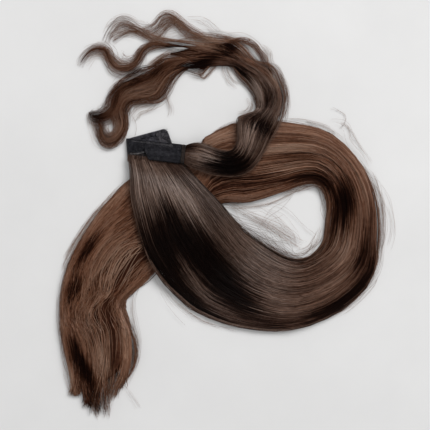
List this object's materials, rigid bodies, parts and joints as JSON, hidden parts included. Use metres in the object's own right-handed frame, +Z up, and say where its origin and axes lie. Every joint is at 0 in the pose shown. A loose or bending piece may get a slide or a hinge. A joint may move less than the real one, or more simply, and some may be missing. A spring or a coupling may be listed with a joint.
{
  "type": "wrap-around ponytail hairpiece",
  "caption": "Long straight ponytail hairpiece laid flat in a loop, with a folded hook-and-loop band and a wavy wrapping strand.",
  "frame": {"origin": "middle of the underside of the band's flap, where the hairpiece lies on its surface", "axes": "+Z up from the surface it lies on, +X along the band from its fold to the wrapping strand, +Y away from the tress, towards the wrapping strand's curls"},
  "size_m": [0.3243, 0.4081, 0.022],
  "materials": {
    "felted_tape": "charcoal felted loop tape, matt",
    "hook_tape": "charcoal hook tape, dull",
    "sewn_weft": "dark stitched weft with grey thread",
    "tress_hair": "straight dark brown hair fibre, soft gloss",
    "wrap_hair": "wavy dark brown hair fibre, soft gloss"
  },
  "bodies": {
    "root": {"base_band": "felted_tape", "closure_tab": "felted_tape", "hook_patch": "hook_tape", "weft_heading": "sewn_weft", "wrap_heading": "sewn_weft", "main_tress": "tress_hair", "wrap_strand": "wrap_hair"}
  },
  "joints": []
}
